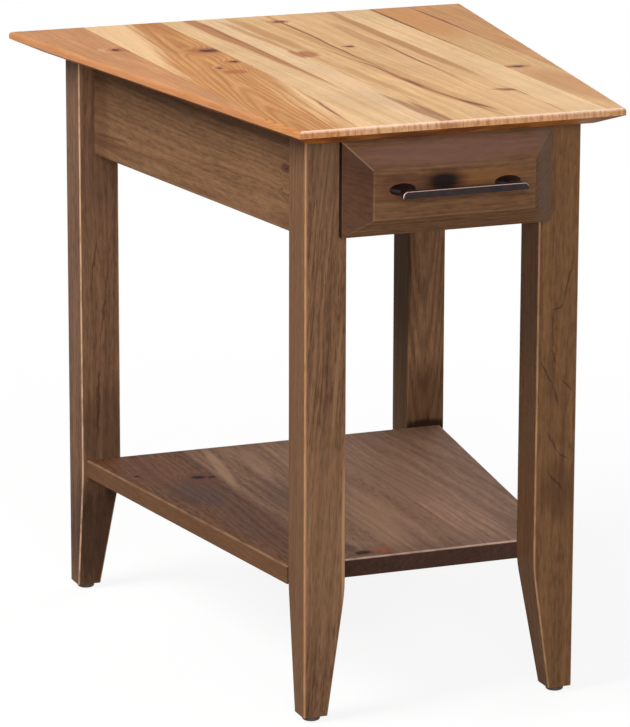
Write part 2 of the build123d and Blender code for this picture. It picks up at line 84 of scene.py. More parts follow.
def grain_in_log(tree, pith, turn, ring, stray, seed):
    """The place of each point in the log that a piece was sawn from, and its growth rings.

    pith is a point on the log's centre line, turn lays the log's length (its own Y) along
    the piece, ring is one year's growth and stray is how far the fibres wander, in mm."""
    place = add_node(tree, "TexCoord").outputs["Object"]
    start = [a * mm for a in pith]
    log = add_node(
        tree, "Mapping", {"Vector": place, "Location": start, "Rotation": turn}, vector_type="TEXTURE"
    )
    # the fibres sway over about 60 mm across the trunk and 300 mm along it
    slow = add_node(tree, "VectorMath", {0: log, 1: (16, 3.3, 16)}, operation="MULTIPLY")
    sway = add_node(
        tree, "TexNoise", {"Vector": slow, "W": seed, "Scale": 1, "Detail": 2}, noise_dimensions="4D"
    )
    bent = moved(tree, log, sway, (2 * stray * mm,) * 3)
    across = 1 / (ring * mm)
    flat = add_node(tree, "VectorMath", {0: bent, 1: (across, 0, across)}, operation="MULTIPLY")
    radius = add_node(tree, "VectorMath", {0: flat}, operation="LENGTH").outputs["Value"]
    # good and lean years make the rings wide and narrow, by 2.4 rings at most
    years = add_node(tree, "TexNoise", {"W": radius, "Scale": 0.31, "Detail": 1}, noise_dimensions="1D")
    rings = add_node(tree, "Math", {0: years, 1: 2.4, 2: radius}, operation="MULTIPLY_ADD")
    return bent, rings


def spot(tree, place, at, size, turn):
    """How far a point is from an oval mark, in the mark's own half-widths."""
    oval = add_node(
        tree,
        "Mapping",
        {
            "Vector": place,
            "Location": [a * mm for a in at],
            "Rotation": turn,
            "Scale": [a * mm for a in size],
        },
        vector_type="TEXTURE",
    )
    return add_node(tree, "VectorMath", {0: oval}, operation="LENGTH").outputs["Value"]


def swell_rings(tree, rings, reach, far, extra):
    """Pushes the rings out around a mark: by extra rings at its centre, by none at far."""
    swell = add_node(
        tree,
        "MapRange",
        {"Value": reach, "From Min": 0, "From Max": far, "To Min": extra, "To Max": 0},
        interpolation_type="SMOOTHSTEP",
    )
    return add_node(tree, "Math", {0: rings, 1: swell}, operation="ADD")


def lay_mark(tree, ground, reach, near, far, colour, strength):
    """Lays a mark's colour on the wood, at full strength out to near and fading to far."""
    cover = add_node(
        tree,
        "MapRange",
        {"Value": reach, "From Min": near, "From Max": far, "To Min": strength, "To Max": 0},
        interpolation_type="SMOOTHSTEP",
    )
    return add_node(tree, "MixRGB", {0: cover, 1: ground, 2: linear(colour)})


def stain(
    name, pith, turn, seed, ring=3.2, stray=5, pale="#8A6A4E", deep="#624837",
    lines=0.25, pores=0.4, knots=(), bands=(), streaks=(),
):
    """The colour and the open pores of hickory under a brown-grey wiping stain.

    lines and pores are how dark its growth lines and pores are. knots, bands and streaks are
    ovals: a place, three half-widths and a turn. A band has a colour and a strength too, and
    a streak, which is a thin dark mineral line, has a strength."""
    material, tree = empty_material(name)
    bent, rings = grain_in_log(tree, pith, turn, ring, stray, seed)
    place = add_node(tree, "TexCoord").outputs["Object"]
    # the edges of knots and mineral lines wander by a millimetre or two over 11 mm
    ragged = add_node(tree, "TexNoise", {"Vector": place, "Scale": 90, "Detail": 2})
    around = moved(tree, place, ragged, (6 * mm,) * 3)

    reaches = [spot(tree, around, *knot) for knot in knots]
    for reach in reaches:
        rings = swell_rings(tree, rings, reach, far=4, extra=3)
    phase = add_node(tree, "Math", {0: rings, 1: 0.5}, operation="PINGPONG")
    early = add_node(
        tree,
        "MapRange",
        {"Value": phase, "From Min": 0.05, "From Max": 0.4, "To Min": 1, "To Max": 0},
        interpolation_type="SMOOTHSTEP",
    )
    # streaks are 6 mm wide and a hand or two long; pores are drawn 0.9 mm wide and 25 mm
    # long, wider than real ones, so that they show
    streak = long_noise(tree, bent, across=170, along=4, detail=4, roughness=0.6)
    fibre = long_noise(tree, bent, across=1100, along=40, detail=2, roughness=0.6)
    # the stain takes unevenly, in flecks 4 mm wide and 12 mm long, some of them redder
    flecks = add_node(tree, "VectorMath", {0: bent, 1: (55, 16, 55)}, operation="MULTIPLY")
    flecks = add_node(
        tree, "TexNoise", {"Vector": flecks, "W": seed, "Scale": 5, "Detail": 3}, noise_dimensions="4D"
    )

    tone = add_node(tree, "Math", {0: flecks, 1: 0.8, 2: streak}, operation="MULTIPLY_ADD")
    tone = add_node(tree, "MapRange", {"Value": tone, "From Min": 0.66, "From Max": 1.14})
    ground = add_node(tree, "MixRGB", {0: tone, 1: linear(deep), 2: linear(pale)})
    redness = add_node(
        tree, "MapRange", {"Value": flecks, "From Min": 0.45, "From Max": 0.7, "To Max": 0.45}
    )
    ground = add_node(tree, "MixRGB", {0: redness, 1: ground, 2: linear("#6E4635")})
    uneven = add_node(
        tree,
        "MapRange",
        {"Value": flecks.outputs["Color"], "From Min": 0.3, "From Max": 0.7, "To Min": 0.84, "To Max": 1.12},
    )
    ground = add_node(tree, "VectorMath", {0: ground, "Scale": uneven}, operation="SCALE")
    line = add_node(tree, "Math", {0: early, 1: lines}, operation="MULTIPLY")
    ground = add_node(tree, "MixRGB", {0: line, 1: ground, 2: linear("#36241B")})
    pore = add_node(tree, "MapRange", {"Value": fibre, "From Min": 0.5, "From Max": 0.7})
    dark = add_node(tree, "Math", {0: pore, 1: pores}, operation="MULTIPLY")
    ground = add_node(tree, "MixRGB", {0: dark, 1: ground, 2: linear("#38261B")})

    for at, size, tilt, colour, strength in bands:
        reach = spot(tree, place, at, size, tilt)
        # a band's edge is drawn out along the grain
        reach = add_node(tree, "Math", {0: streak, 1: 0.8, 2: reach}, operation="MULTIPLY_ADD")
        ground = lay_mark(tree, ground, reach, near=0.9, far=1.6, colour=colour, strength=strength)
    # a knot has a red-brown halo round a core that is nearly black
    for reach in reaches:
        ground = lay_mark(tree, ground, reach, near=0.8, far=2.2, colour="#553022", strength=0.6)
        ground = lay_mark(tree, ground, reach, near=0.6, far=1.1, colour="#1C0F0C", strength=1)
    for at, size, tilt, strength in streaks:
        reach = spot(tree, around, at, size, tilt)
        ground = lay_mark(tree, ground, reach, near=0.4, far=1.3, colour="#2C1C15", strength=strength)
    furrow = add_node(tree, "Math", {0: pore, 1: early}, operation="ADD")
    return material, tree, ground, furrow


def lacquer(tree, colour, furrow, depth, gloss):
    """A satin lacquer film that sinks into the wood's open pores, by depth in mm."""
    relief = add_node(
        tree, "Bump", {"Height": furrow, "Strength": 0.35, "Distance": depth * mm}, invert=True
    )
    satin = add_node(tree, "MapRange", {"Value": furrow, "From Max": 2, "To Min": 0.46, "To Max": 0.66})
    shader = add_node(
        tree,
        "BsdfPrincipled",
        {"Base Color": colour, "Roughness": satin, "Normal": relief, "Specular IOR Level": gloss},
    )
    add_node(tree, "OutputMaterial", {"Surface": shader})


def stained_hickory(name, pith, turn, seed, edges=(), wear_and_highlight=None, **figure):
    """Stained hickory under a satin lacquer.

    edges are the faces that take another colour: the axis that they face along, a colour and
    how much of it they have. On the right legs' left faces this is painted shade, and on the
    shelf's ends a darker stain with painted shade. The arris colour, with how much of it they
    have, paints the arrises, where the stain is rubbed thin, together with a painted highlight."""
    material, tree, ground, furrow = stain(name, pith, turn, seed, **figure)
    facing = add_node(tree, "TexCoord").outputs["Normal"]
    square = add_node(tree, "VectorMath", {0: facing}, operation="ABSOLUTE")
    sides = add_node(tree, "SeparateXYZ", {0: square})
    for axis, colour, strength in edges:
        squarely = add_node(
            tree,
            "MapRange",
            {"Value": sides.outputs[axis], "From Min": 0.75, "From Max": 0.95, "To Max": strength},
        )
        ground = add_node(tree, "MixRGB", {0: squarely, 1: ground, 2: linear(colour)})
    if wear_and_highlight:
        arris_tone, strength = wear_and_highlight
        # an arris is where no axis of the piece is square to the surface
        most = add_node(tree, "Math", {0: sides.outputs["X"], 1: sides.outputs["Y"]}, operation="MAXIMUM")
        most = add_node(tree, "Math", {0: most, 1: sides.outputs["Z"]}, operation="MAXIMUM")
        rounded = add_node(
            tree, "MapRange", {"Value": most, "From Min": 0.985, "From Max": 0.9, "To Max": strength}
        )
        # the pale arris, rubbed stain and painted highlight together, comes in patches about 20 mm long
        place = add_node(tree, "TexCoord").outputs["Object"]
        patches = add_node(tree, "TexNoise", {"Vector": place, "Scale": 45, "Detail": 3})
        patchy = add_node(
            tree, "MapRange", {"Value": patches, "From Min": 0.38, "From Max": 0.55, "To Min": 0.5}
        )
        rubbed_and_lit = add_node(tree, "Math", {0: rounded, 1: patchy}, operation="MULTIPLY")
        ground = add_node(tree, "MixRGB", {0: rubbed_and_lit, 1: ground, 2: linear(arris_tone)})
    lacquer(tree, ground, furrow, depth=0.12, gloss=0.02)
    return material


up_the_leg = (math.radians(90), 0, 0)
up_and_over = (math.radians(90), math.radians(4), 0)
up_and_back = (math.radians(92), 0, 0)
level = (0, 0, 0)
front_of_front_legs = -258
front_of_back_legs = 230

# dark mineral lines about 2 mm wide zigzag down the front of the right leg: x and z of
# their bends
mineral_lines = (
    ((141, 455), (129, 405), (119, 400), (118, 360), (123, 345)),
    ((106, 349), (118, 326), (127, 300)),
    ((130, 327), (142, 316)),
    ((113, 278), (128, 250), (137, 247)),
    ((116, 234), (134, 212)),
)
line_half_width = 1.1
line_depth = 3
overlap = 1.5
line_strength = 0.5
zigzags = []
for bends in mineral_lines:
    for (x, z), (next_x, next_z) in zip(bends, bends[1:]):
        half_run = math.hypot(next_x - x, next_z - z) / 2
        between = ((x + next_x) / 2, front_of_front_legs, (z + next_z) / 2)
        tilt = math.atan2(x - next_x, z - next_z)
        size = (line_half_width, line_depth, half_run + overlap)
        zigzags.append((between, size, (0, tilt, 0), line_strength))

leg_blanks = {
    "leg_front_left": dict(
        pith=(-60, -420, 0), turn=up_and_over, seed=11, ring=4.5, stray=9, pale="#8F6C50",
        deep="#644632", lines=0.3, pores=0.75, edges=[("X", "#6C4C34", 0.6)], wear_and_highlight=("#B58E69", 0.45),
        bands=[
            ((-144.5, front_of_front_legs, 330), (1.5, 4, 520), level, "#A87850", 0.5),
            ((-112, front_of_front_legs, 350), (2.4, 4, 60), (0, math.radians(5), 0), "#957355", 0.5),
            ((-125, front_of_front_legs, 570), (24, 4, 70), level, "#604A3A", 0.4),
            ((-104, front_of_front_legs, 170), (2.4, 5, 110), level, "#B48C68", 0.7),
            ((-128, front_of_front_legs, 190), (34, 5, 120), level, "#A47E5E", 0.2),
        ],
    ),
    "leg_front_right": dict(
        pith=(260, -480, 0), turn=up_the_leg, seed=12, ring=5, stray=9, pale="#82603F",
        # the left face is painted darker (edges X): painted shade where the table blocks the light
        deep="#644631", lines=0.12, pores=0.35, edges=[("X", "#54392A", 0.45)], wear_and_highlight=("#AE8965", 0.6),
        streaks=zigzags,
        bands=[
            ((127, front_of_front_legs, 215), (22, 4, 34), level, "#4A3325", 0.5),
            ((118, front_of_front_legs, 330), (10, 4, 40), (0, math.radians(-20), 0), "#56402F", 0.4),
        ],
    ),
    "leg_back_left": dict(
        pith=(-345, 435, 0), turn=up_the_leg, seed=13, ring=5, stray=9, pale="#85634A",
        deep="#5E4433", lines=0.12, wear_and_highlight=("#C4A080", 0.8),
        bands=[
            # painted shade on the leg below the shelf
            ((-188, front_of_back_legs, 60), (40, 60, 85), level, "#38261C", 0.75),
            ((-188, front_of_back_legs, 185), (30, 5, 50), level, "#4A3427", 0.5),
            ((-188, front_of_back_legs, 480), (30, 5, 60), level, "#563E30", 0.4),
        ],
        streaks=[
            ((-196.5, front_of_back_legs, 372), (1, 4, 30), (0, math.radians(8), 0), 0.5),
            ((-186, front_of_back_legs, 320), (1.1, 4, 60), (0, math.radians(7), 0), 0.4),
            ((-193, front_of_back_legs, 215), (1.6, 4, 55), (0, math.radians(3), 0), 0.55),
        ],
    ),
    "leg_back_right": dict(
        pith=(186, 263, 320), turn=up_and_back, seed=14, ring=3, pale="#A6805E", deep="#805C42",
        # the left face is painted dark (edges X): painted shade where the table blocks the light
        lines=0.32, edges=[("X", "#4E3620", 0.75)],
        bands=[
            # a painted shadow of the shelf across the front face, low down, and painted shade on the left
            # face
            ((190, front_of_back_legs, 160), (40, 5, 75), level, "#4A3022", 0.6),
            ((190, front_of_back_legs, 152), (40, 5, 9), level, "#1E130E", 0.85),
            ((168, 252, 430), (4, 40, 260), level, "#38271A", 0.85),
        ],
    ),
}
for name, blank in leg_blanks.items():
    give(nodes[name], stained_hickory("stained_" + name, **blank))

# ---------------------------------------------------------------- glides
# Four round glides of dark nylon, moulded with a soft lower edge. Each is driven into the
# middle of a foot by the nail in it.

glide_finish, tree = empty_material("moulded_nylon")
place = add_node(tree, "TexCoord").outputs["Object"]
# moulded nylon has a faint orange-peel of about 1 mm and scuffs from the floor
peel = add_node(tree, "TexNoise", {"Vector": place, "Scale": 900, "Detail": 2})
scuff = add_node(tree, "TexNoise", {"Vector": place, "Scale": 160, "Detail": 4})
shade = add_node(tree, "MapRange", {"Value": scuff, "From Min": 0.4, "From Max": 0.8})
colour = add_node(tree, "MixRGB", {0: shade, 1: linear("#2E211A"), 2: linear("#56402F")})
dull = add_node(tree, "MapRange", {"Value": scuff, "To Min": 0.45, "To Max": 0.75})
relief = add_node(tree, "Bump", {"Height": peel, "Strength": 0.2, "Distance": 0.1 * mm})
shader = add_node(tree, "BsdfPrincipled", {"Base Color": colour, "Roughness": dull, "Normal": relief})
add_node(tree, "OutputMaterial", {"Surface": shader})
for corner in ("front_left", "front_right", "back_left", "back_right"):
    give(nodes["glide_" + corner], glide_finish)

# ---------------------------------------------------------------- aprons
# Two splayed side aprons and a back apron, 19 mm hickory tenoned into the legs, with the
# same stain. The left one is flat-sawn, with two dark pin knots near its front end.

# each side apron leans out by 66 mm over the 488 mm from leg to leg
spread = 66
run = 488
splay = math.atan(spread / run)
along_x = math.radians(-90)
falling = (math.radians(-2), 0, 0)
apron_planks = {
    "apron_left": dict(
        pith=(-128, 0, 500), turn=(math.radians(2), 0, splay), seed=21, stray=14, pale="#8A6849",
        deep="#6A4C36", lines=0.2,
        knots=[((-138, -187, 548), (4, 1.6, 1.3), level), ((-139, -178, 527), (4, 1.1, 0.8), level)],
        bands=[
            ((-138, -186, 549), (20, 12, 5), level, "#4C2824", 0.7),
            # painted shadow of the top's overhang along the apron's upper edge
            ((-165, 0, 588), (60, 300, 26), level, "#463122", 0.5),
            ((-153, -74, 482), (20, 60, 12), level, "#8E6A4A", 0.4),
            # painted shade beside the back left leg
            ((-190, 215, 540), (20, 18, 90), level, "#4A3326", 0.35),
            ((-191, 196, 503), (20, 40, 4), falling, "#56342A", 0.6),
            ((-191, 192, 512), (20, 40, 2), falling, "#4A2C22", 0.5),
        ],
    ),
    "apron_right": dict(
        pith=(110, 0, 560), turn=(math.radians(-2), 0, -splay), seed=22, stray=12, pale="#8A6950",
        deep="#6E503C",
    ),
    "apron_back": dict(
        pith=(0, 210, 520), turn=(0, math.radians(2), along_x), seed=23, stray=12, pale="#8A6950",
        deep="#6E503C",
    ),
}
for name, plank in apron_planks.items():
    give(nodes[name], stained_hickory("stained_" + name, ring=5, **plank))

# ---------------------------------------------------------------- drawer rails
# Two hickory rails tenoned between the front legs, above and below the drawer. They carry
# the same stain, and show only when the drawer is out.

rail_blanks = {
    "rail_upper": dict(pith=(0, -235, 640), seed=31),
    "rail_lower": dict(pith=(0, -235, 450), seed=32),
}
for name, blank in rail_blanks.items():
    give(nodes[name], stained_hickory("stained_" + name, turn=(0, 0, along_x), **blank))

# ---------------------------------------------------------------- hangers and drawer box
# The boards that don't show are hard maple: two hangers that carry the slides, their glue
# blocks, and the dovetailed drawer box. Maple is cream with a faint, close, silky grain,
# planed and sealed clear.


def clear_maple(name, pith, turn, seed, ring=2.6):
    """Hard maple under a clear sealer."""
    material, tree = empty_material(name)
    bent, rings = grain_in_log(tree, pith, turn, ring, stray=5, seed=seed)
    phase = add_node(tree, "Math", {0: rings}, operation="FRACT")
    late = add_node(tree, "MapRange", {"Value": phase, "From Min": 0.7, "From Max": 1, "To Max": 0.4})
    # streaks are 4 mm wide and 200 mm long
    streak = long_noise(tree, bent, across=240, along=5, detail=4)
    # maple's fibres are about 0.3 mm wide, drawn at 0.8 mm so that they show
    fibre = long_noise(tree, bent, across=1200, along=60, detail=2)
    tone = add_node(tree, "MapRange", {"Value": streak, "From Min": 0.3, "From Max": 0.7})
    ground = add_node(tree, "MixRGB", {0: tone, 1: linear("#D9BE98"), 2: linear("#EAD6B4")})
    ground = add_node(tree, "MixRGB", {0: late, 1: ground, 2: linear("#C39F74")})
    fleck = add_node(tree, "MapRange", {"Value": fibre, "From Min": 0.55, "From Max": 0.8, "To Max": 0.3})
    ground = add_node(tree, "MixRGB", {0: fleck, 1: ground, 2: linear("#B8946A")})
    relief = add_node(tree, "Bump", {"Height": fibre, "Strength": 0.2, "Distance": 0.06 * mm})
    satin = add_node(tree, "MapRange", {"Value": fibre, "To Min": 0.38, "To Max": 0.55})
    shader = add_node(tree, "BsdfPrincipled", {"Base Color": ground, "Roughness": satin, "Normal": relief})
    add_node(tree, "OutputMaterial", {"Surface": shader})
    return material


straight_back = (0, 0, 0)
crosswise = (0, 0, along_x)
lengthways = {
    "hanger_left": (-150, 0, 560),
    "hanger_right": (150, 0, 470),
    "drawer_side_left": (-40, 0, 560),
    "drawer_side_right": (45, 0, 500),
    "drawer_bottom": (20, 0, 440),
}
crossways = {
    "drawer_subfront": (0, -290, 530),
    "drawer_back": (0, 190, 520),
}
uprights = {
    "glue_block_left": (-180, 240, 540),
    "glue_block_right": (185, 245, 540),
}
for boards, turn in ((lengthways, straight_back), (crossways, crosswise), (uprights, up_the_leg)):
    for name, pith in boards.items():
        give(nodes[name], clear_maple("clear_" + name, pith, turn, seed=len(name)))

# ---------------------------------------------------------------- shelf
# Four stained boards glued edge to edge and dowelled to the legs. The left board has three
# knots and a dark flared patch, the second one a knot by its front edge.

shelf_top = 152
slant = (0, 0, math.radians(-8))
shelf_sides = ("X", "#7C5C42", 0.5)
# the boards' front and back ends are painted near black: a darker stain and painted shade
shelf_ends_shaded = ("Y", "#2F1F1C", 0.82)
# the shelf's arrises are pale: rubbed stain and a painted highlight
usual_faces = dict(edges=[shelf_sides, shelf_ends_shaded], wear_and_highlight=("#BFA193", 0.8))
shelf_planks = {
    1: dict(
        pith=(-260, 0, 40), pale="#6E4B32", deep="#493022", edges=[("X", "#6A4B35", 0.6)],
        wear_and_highlight=("#93725A", 0.5),
        knots=[
            ((-178, 148, shelf_top), (3, 4, 30), level),
            ((-119, 121, shelf_top), (9, 7, 30), level),
            ((-104, 118, shelf_top), (5, 4, 30), level),
        ],
        bands=[
            ((-160, 165, shelf_top), (44, 60, 60), level, "#5E3C30", 0.55),
            ((-122, 112, shelf_top), (30, 26, 60), level, "#5A342A", 0.6),
            ((-138, 62, shelf_top), (30, 60, 60), level, "#463530", 0.7),
            ((-120, -60, shelf_top), (40, 90, 60), level, "#513830", 0.45),
            # board 1's back end, painted near black like the other ends: darker stain and painted shade
            ((-150, 234, shelf_top), (90, 6, 60), level, "#2F1F1C", 0.82),
        ],
    ),
    2: dict(
        pith=(-20, 0, 20), pale="#86664F", deep="#5E4436", **usual_faces,
        knots=[((-60, -199, shelf_top), (9, 6, 30), level)],
        bands=[
            ((-84, 145, shelf_top), (7, 90, 60), slant, "#93735A", 0.7),
            ((-40, 150, shelf_top), (12, 70, 60), slant, "#8C6C54", 0.5),
            ((-60, 0, shelf_top), (24, 90, 60), level, "#4A3530", 0.45),
            ((-36, -196, shelf_top), (14, 12, 60), level, "#82492F", 0.7),
            ((-70, -178, shelf_top), (16, 16, 60), level, "#40302B", 0.7),
        ],
    ),
    3: dict(
        pith=(90, 0, 10), pale="#8C6B54", deep="#6A4E3F", **usual_faces,
        bands=[
            ((0, -80, shelf_top), (26, 120, 60), slant, "#876851", 0.4),
            ((-2, 120, shelf_top), (14, 60, 60), slant, "#8A6A56", 0.5),
        ],
    ),
    4: dict(
        pith=(200, 0, 20), pale="#99765D", deep="#765849", **usual_faces,
        bands=[((76, 30, shelf_top), (30, 90, 60), level, "#6E5142", 0.5)],
    ),
}
for number, plank in shelf_planks.items():
    tip = math.radians(number - 2)
    shelf_finish = stained_hickory(
        f"stained_shelf_{number}", turn=(tip, 0, 0), seed=40 + number, ring=6, stray=14, lines=0.15,
        pores=0.3, **plank,
    )
    give(nodes[f"shelf_board_{number}"], shelf_finish)

# Eight beech dowels hold it to the legs, two in each.
dowel_finish = clear_maple("beech_dowels", (0, 0, 170), straight_back, seed=5, ring=1.6)
give(nodes["shelf_dowels"], dowel_finish)

# ---------------------------------------------------------------- top
# Nine boards of random width, edge-glued, with a small rounded nose above a wide undercut
# bevel. Clear satin lacquer on rustic hickory: cream sapwood, tan to orange heartwood, dark
# knots and open checks. Each board is sawn from its own log.

top_face = 610


def face_spot(tree, place, x, y, half_width, half_length, tilt, half_depth=200):
    """How far a point is from an oval mark on the top, turned by tilt degrees."""
    size = (half_width, half_length, half_depth)
    return spot(tree, place, (x, y, top_face), size, (0, 0, math.radians(tilt)))


def natural_hickory(
    name, pith, lean, seed, cream, honey, ring=3, stray=4, figure=0.25, swells=(), bands=(),
    knots=(), checks=(),
):
    """Rustic hickory under a clear satin lacquer.

    lean is how far the grain tips and skews from the board's length, in degrees, and figure
    is how strong its growth lines are. swells, bands, knots and checks are ovals on the
    board's face: x, y, two half-widths and a turn in degrees. A swell has the number of
    rings that it adds, and a band has a colour and a strength."""
    material, tree = empty_material(name)
    tip, skew = lean
    turn = (math.radians(tip), 0, math.radians(skew))
    bent, rings = grain_in_log(tree, pith, turn, ring, stray, seed)
    place = add_node(tree, "TexCoord").outputs["Object"]
    # edges of knots wander by 2 mm over 20 mm, and checks and bands by 2 mm over 90 mm
    ragged = add_node(tree, "TexNoise", {"Vector": place, "Scale": 60, "Detail": 3})
    around = moved(tree, place, ragged, (8 * mm, 14 * mm, 0))
    winding = add_node(tree, "TexNoise", {"Vector": place, "Scale": 11, "Detail": 3, "Roughness": 0.35})
    along_check = moved(tree, place, winding, (10 * mm, 0, 0))
    # streaks 5 mm wide, and pores drawn 0.8 mm wide and 16 mm long
    streak = long_noise(tree, bent, across=200, along=2.6, detail=4, roughness=0.6)
    fibre = long_noise(tree, bent, across=1200, along=60, detail=2, roughness=0.6)
    blotch = add_node(tree, "TexNoise", {"Vector": place, "Scale": 11, "Detail": 2})

    for *oval, extra in swells:
        reach = face_spot(tree, place, *oval)
        rings = swell_rings(tree, rings, reach, far=1, extra=extra)
    knot_reaches = [face_spot(tree, around, *knot, half_depth=60) for knot in knots]
    for reach in knot_reaches:
        rings = swell_rings(tree, rings, reach, far=4, extra=1.6)

    ground = add_node(tree, "MapRange", {"Value": streak, "From Min": 0.32, "From Max": 0.76})
    ground = add_node(tree, "MixRGB", {0: ground, 1: linear(cream), 2: linear(honey)})
    uneven = add_node(
        tree, "MapRange", {"Value": blotch, "From Min": 0.3, "From Max": 0.7, "To Min": 0.9, "To Max": 1.07}
    )
    ground = add_node(tree, "VectorMath", {0: ground, "Scale": uneven}, operation="SCALE")
    phase = add_node(tree, "Math", {0: rings, 1: 0.5}, operation="PINGPONG")
    early = add_node(
        tree,
        "MapRange",
        {"Value": phase, "From Min": 0.02, "From Max": 0.36, "To Min": figure, "To Max": 0},
        interpolation_type="SMOOTHSTEP",
    )
    ground = add_node(tree, "MixRGB", {0: early, 1: ground, 2: linear("#9C5A28")})
    for *oval, colour, strength in bands:
        reach = face_spot(tree, along_check, *oval)
        # a band's edge is drawn out along the grain
        reach = add_node(tree, "Math", {0: streak, 1: 1.1, 2: reach}, operation="MULTIPLY_ADD")
        ground = lay_mark(tree, ground, reach, near=1.15, far=1.75, colour=colour, strength=strength)
    streaky = add_node(
        tree, "MapRange", {"Value": streak, "From Min": 0.3, "From Max": 0.7, "To Min": 1.04, "To Max": 0.94}
    )
    ground = add_node(tree, "VectorMath", {0: ground, "Scale": streaky}, operation="SCALE")
    pore = add_node(tree, "MapRange", {"Value": fibre, "From Min": 0.52, "From Max": 0.72})
    dark = add_node(tree, "Math", {0: pore, 1: 0.22}, operation="MULTIPLY")
    ground = add_node(tree, "MixRGB", {0: dark, 1: ground, 2: linear("#8A5830")})

    # a knot has an orange halo round a dark red-brown core, and the wood beside an open check
    # is tanned
    for reach in knot_reaches:
        ground = lay_mark(tree, ground, reach, near=0.9, far=2.6, colour="#9E5A32", strength=0.8)
        ground = lay_mark(tree, ground, reach, near=0.65, far=1.1, colour="#481A0F", strength=1)
    for check in checks:
        reach = face_spot(tree, along_check, *check, half_depth=20)
        ground = lay_mark(tree, ground, reach, near=0.8, far=4, colour="#A2622F", strength=0.55)
        ground = lay_mark(tree, ground, reach, near=0.5, far=1.5, colour="#4E230E", strength=0.85)

    # the rounded upper arris at the front and back is painted pale as a highlight
    facing = add_node(tree, "SeparateXYZ", {0: add_node(tree, "TexCoord").outputs["Normal"]})
    ends = add_node(tree, "Math", {0: facing.outputs["Y"]}, operation="ABSOLUTE")
    endways = add_node(tree, "MapRange", {"Value": ends, "From Min": 0.2, "From Max": 0.4, "To Max": 0.75})
    rolled = add_node(tree, "MapRange", {"Value": facing.outputs["Z"], "From Min": 0.99, "From Max": 0.9})
    upper = add_node(tree, "MapRange", {"Value": facing.outputs["Z"], "From Min": 0.15, "From Max": 0.45})
    crest_highlight = add_node(tree, "Math", {0: rolled, 1: upper}, operation="MULTIPLY")
    crest_highlight = add_node(tree, "Math", {0: crest_highlight, 1: endways}, operation="MULTIPLY")
    ground = add_node(tree, "MixRGB", {0: crest_highlight, 1: ground, 2: linear("#F8DAC6")})
    # the end grain below it is browner, with its rings as slanting lines 3 mm apart
    end_grain = add_node(tree, "MapRange", {"Value": ends, "From Min": 0.5, "From Max": 0.95, "To Max": 0.55})
    ground = add_node(tree, "MixRGB", {0: end_grain, 1: ground, 2: linear("#B47C56")})
    slope = (0, math.radians(-40), 0)
    slanting = add_node(tree, "VectorMath", {0: place, 1: (330, 0, 330)}, operation="MULTIPLY")
    slanting = add_node(
        tree, "Mapping", {"Vector": slanting, "Rotation": slope, "Scale": (1, 1, 0.2)}
    )
    slanting = add_node(tree, "TexNoise", {"Vector": slanting, "Scale": 1, "Detail": 3})
    hatch = add_node(tree, "MapRange", {"Value": slanting, "From Min": 0.45, "From Max": 0.65})
    hatch = add_node(tree, "Math", {0: hatch, 1: end_grain}, operation="MULTIPLY")
    ground = add_node(tree, "MixRGB", {0: hatch, 1: ground, 2: linear("#8A4C2C")})
    # the sides are a little browner too, and the bevel underneath is a patchy dark orange: its own orange and
    # painted shade
    flank = add_node(tree, "Math", {0: facing.outputs["X"]}, operation="ABSOLUTE")
    flank = add_node(tree, "MapRange", {"Value": flank, "From Min": 0.3, "From Max": 0.8, "To Max": 0.45})
    ground = add_node(tree, "MixRGB", {0: flank, 1: ground, 2: linear("#A66E48")})
    under_shade = add_node(
        tree, "MapRange", {"Value": facing.outputs["Z"], "From Min": -0.5, "From Max": -0.8, "To Max": 0.92}
    )
    patches = add_node(tree, "TexNoise", {"Vector": place, "Scale": 28, "Detail": 2})
    patches = add_node(tree, "MapRange", {"Value": patches, "From Min": 0.4, "From Max": 0.62})
    patches = add_node(tree, "MixRGB", {0: patches, 1: linear("#74330A"), 2: linear("#AE6628")})
    ground = add_node(tree, "MixRGB", {0: under_shade, 1: ground, 2: patches})
    furrow = add_node(tree, "Math", {0: pore, 1: early}, operation="ADD")
    lacquer(tree, ground, furrow, depth=0.08, gloss=0.03)
    return material


